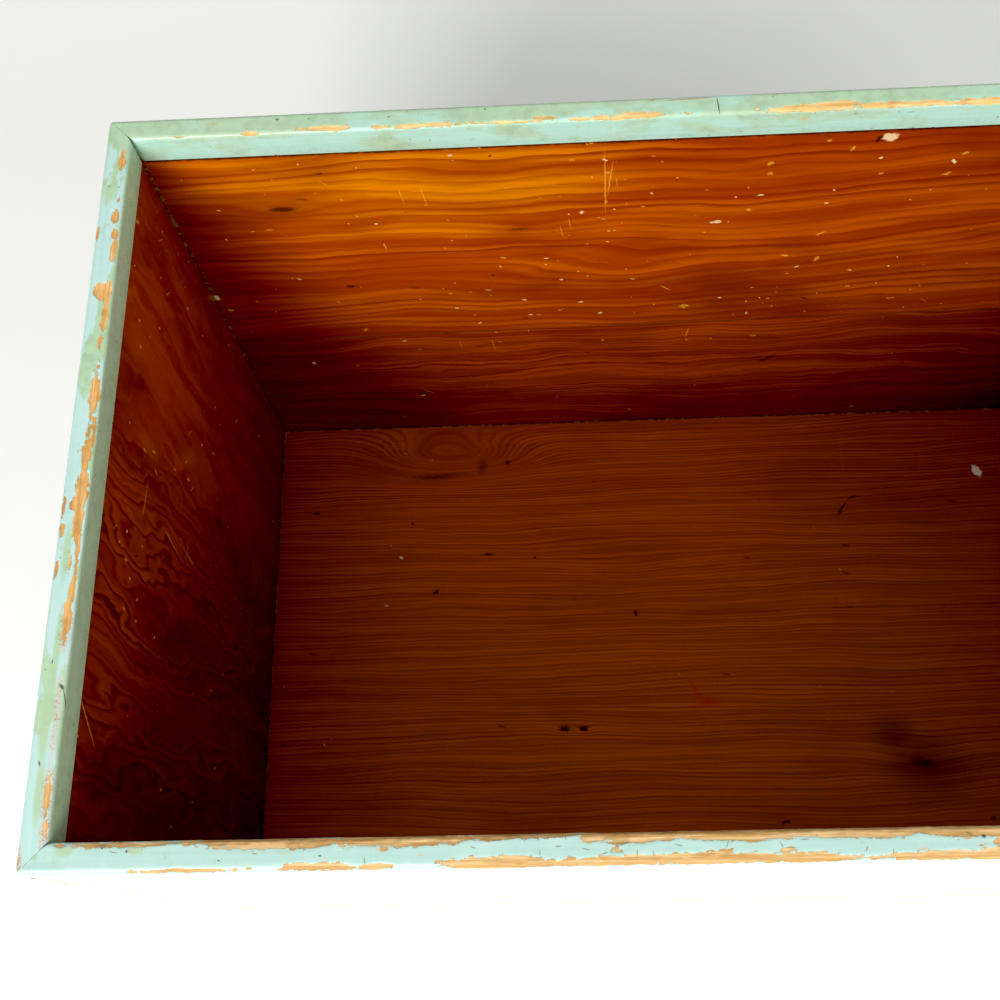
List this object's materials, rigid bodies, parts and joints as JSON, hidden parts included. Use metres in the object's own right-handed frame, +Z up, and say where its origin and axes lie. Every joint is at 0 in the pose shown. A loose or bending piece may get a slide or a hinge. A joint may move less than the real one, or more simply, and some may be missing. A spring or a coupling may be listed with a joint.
{
  "type": "open wooden box",
  "caption": "Open rectangular wooden box with a stained inside, white painted outside and worn, mitred rim mouldings, for tossing washers into or for storage.",
  "frame": {"origin": "middle of the underside, on the surface that the box stands on", "axes": "+X along the box's length to its right end, +Y from the front long wall to the back one, +Z up"},
  "size_m": [0.762, 0.406, 0.4122],
  "materials": {
    "amber_fir": "fir boards, glossy amber varnish inside and worn white paint outside",
    "red_plywood": "fir plywood, glossy red-brown varnish inside and worn white paint outside",
    "brown_plywood": "fir plywood, satin mid-brown varnish inside, bare underside",
    "aqua_paint": "semi-gloss pale aqua paint over sage green, worn to bare wood along the edges",
    "rusted_steel": "dull, rusted steel nails, partly painted over"
  },
  "bodies": {
    "root": {"back_board_lower": "amber_fir", "back_board_upper": "amber_fir", "bottom_nail_back_1": "rusted_steel", "bottom_nail_back_2": "rusted_steel", "bottom_nail_back_3": "rusted_steel", "bottom_nail_back_4": "rusted_steel", "bottom_nail_front_1": "rusted_steel", "bottom_nail_front_2": "rusted_steel", "bottom_nail_front_3": "rusted_steel", "bottom_nail_front_4": "rusted_steel", "bottom_nail_left_1": "rusted_steel", "bottom_nail_left_2": "rusted_steel", "bottom_nail_left_3": "rusted_steel", "bottom_nail_right_1": "rusted_steel", "bottom_nail_right_2": "rusted_steel", "bottom_nail_right_3": "rusted_steel", "bottom_panel": "brown_plywood", "corner_nail_back_left_1": "rusted_steel", "corner_nail_back_left_2": "rusted_steel", "corner_nail_back_left_3": "rusted_steel", "corner_nail_back_left_4": "rusted_steel", "corner_nail_back_right_1": "rusted_steel", "corner_nail_back_right_2": "rusted_steel", "corner_nail_back_right_3": "rusted_steel", "corner_nail_back_right_4": "rusted_steel", "corner_nail_front_left_1": "rusted_steel", "corner_nail_front_left_2": "rusted_steel", "corner_nail_front_left_3": "rusted_steel", "corner_nail_front_left_4": "rusted_steel", "corner_nail_front_right_1": "rusted_steel", "corner_nail_front_right_2": "rusted_steel", "corner_nail_front_right_3": "rusted_steel", "corner_nail_front_right_4": "rusted_steel", "front_board_lower": "amber_fir", "front_board_upper": "amber_fir", "left_end_panel": "red_plywood", "right_end_panel": "red_plywood", "rim_back": "aqua_paint", "rim_front": "aqua_paint", "rim_left": "aqua_paint", "rim_nail_back_1": "rusted_steel", "rim_nail_back_2": "rusted_steel", "rim_nail_back_3": "rusted_steel", "rim_nail_front_1": "rusted_steel", "rim_nail_front_2": "rusted_steel", "rim_nail_front_3": "rusted_steel", "rim_nail_left_1": "rusted_steel", "rim_nail_left_2": "rusted_steel", "rim_nail_right_1": "rusted_steel", "rim_nail_right_2": "rusted_steel", "rim_right": "aqua_paint"}
  },
  "joints": []
}
